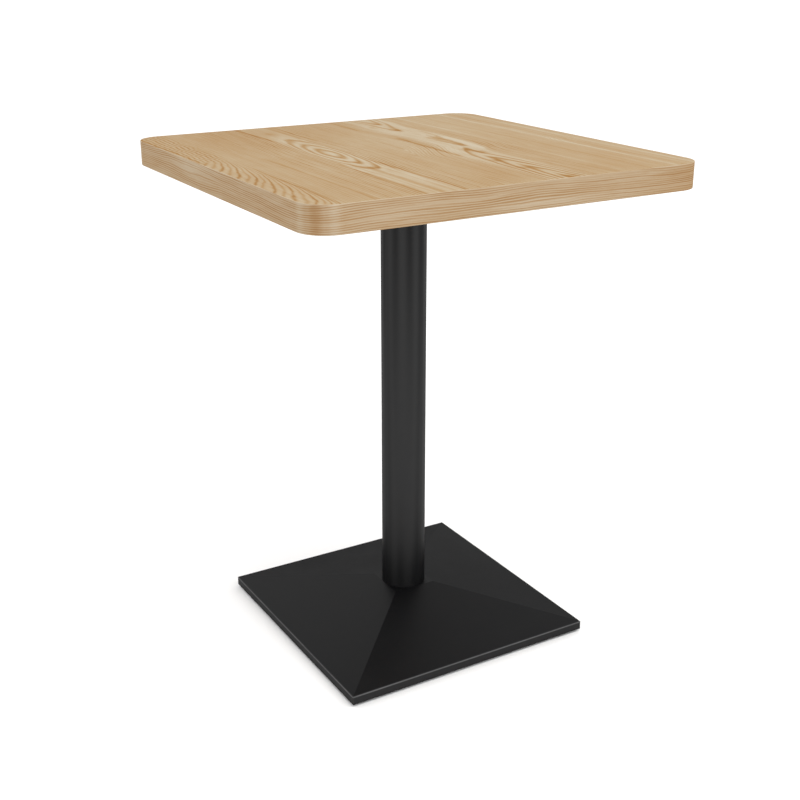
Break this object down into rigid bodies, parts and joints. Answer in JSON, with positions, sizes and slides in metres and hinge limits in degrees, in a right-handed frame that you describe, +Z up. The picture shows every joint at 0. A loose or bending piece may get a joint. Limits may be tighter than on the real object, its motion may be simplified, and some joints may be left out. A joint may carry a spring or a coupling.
{
  "type": "bistro table",
  "caption": "Square bistro table: thick ash-look top with rounded corners on a round black column and a low pyramid base with screw-out levelling feet.",
  "frame": {"origin": "on the floor, under the middle of the column", "axes": "+Z up; X and Y along the sides of the square top and base"},
  "size_m": [0.6, 0.6, 0.75],
  "materials": {
    "ash_veneer": "satin lacquered ash-look veneer",
    "ash_edge": "satin lacquered edging",
    "board": "raw board",
    "backing_veneer": "matt backing sheet",
    "zinc_plated": "zinc plated",
    "black_coating": "satin black powder coat",
    "bare_steel": "turned",
    "cast_black": "as cast, black primer",
    "black_plastic": "moulded"
  },
  "bodies": {
    "table": {"top_veneer": "ash_veneer", "top_core": "board", "edge_band": "ash_edge", "underside_backer": "backing_veneer", "insert_nuts": "zinc_plated", "spider_bracket": "black_coating", "bracket_screws": "zinc_plated", "bracket_washers": "zinc_plated", "column_tube": "black_coating", "tube_centring_ring": "bare_steel", "tie_rod": "zinc_plated", "rod_top_nut": "zinc_plated", "rod_top_washer": "zinc_plated", "rod_base_nut": "zinc_plated", "rod_base_spring_washer": "bare_steel", "rod_base_washer": "zinc_plated", "base_cover": "black_coating", "base_weight": "cast_black"},
    "pad_front_left": {"foot_pad_front_left": "black_plastic"},
    "stud_front_left": {"foot_stud_front_left": "zinc_plated"},
    "pad_front_right": {"foot_pad_front_right": "black_plastic"},
    "stud_front_right": {"foot_stud_front_right": "zinc_plated"},
    "pad_rear_left": {"foot_pad_rear_left": "black_plastic"},
    "stud_rear_left": {"foot_stud_rear_left": "zinc_plated"},
    "pad_rear_right": {"foot_pad_rear_right": "black_plastic"},
    "stud_rear_right": {"foot_stud_rear_right": "zinc_plated"}
  },
  "joints": [
    {"name": "foot_height_front_left", "type": "slide", "parent": "table", "child": "pad_front_left", "axis": [0, 0, -1], "range_m": [0, 0.008]},
    {"name": "foot_turn_front_left", "type": "hinge", "parent": "pad_front_left", "child": "stud_front_left", "pos_m": [-0.158, -0.158, 0.007], "axis": [0, 0, -1], "range_deg": [0, 2304]},
    {"name": "foot_height_front_right", "type": "slide", "parent": "table", "child": "pad_front_right", "axis": [0, 0, -1], "range_m": [0, 0.008]},
    {"name": "foot_turn_front_right", "type": "hinge", "parent": "pad_front_right", "child": "stud_front_right", "pos_m": [0.158, -0.158, 0.007], "axis": [0, 0, -1], "range_deg": [0, 2304]},
    {"name": "foot_height_rear_left", "type": "slide", "parent": "table", "child": "pad_rear_left", "axis": [0, 0, -1], "range_m": [0, 0.008]},
    {"name": "foot_turn_rear_left", "type": "hinge", "parent": "pad_rear_left", "child": "stud_rear_left", "pos_m": [-0.158, 0.158, 0.007], "axis": [0, 0, -1], "range_deg": [0, 2304]},
    {"name": "foot_height_rear_right", "type": "slide", "parent": "table", "child": "pad_rear_right", "axis": [0, 0, -1], "range_m": [0, 0.008]},
    {"name": "foot_turn_rear_right", "type": "hinge", "parent": "pad_rear_right", "child": "stud_rear_right", "pos_m": [0.158, 0.158, 0.007], "axis": [0, 0, -1], "range_deg": [0, 2304]}
  ],
  "couplings": [
    {"joint": "foot_turn_front_left", "follows": "foot_height_front_left", "rad_per_m": 5026.5},
    {"joint": "foot_turn_front_right", "follows": "foot_height_front_right", "rad_per_m": 5026.5},
    {"joint": "foot_turn_rear_left", "follows": "foot_height_rear_left", "rad_per_m": 5026.5},
    {"joint": "foot_turn_rear_right", "follows": "foot_height_rear_right", "rad_per_m": 5026.5}
  ]
}
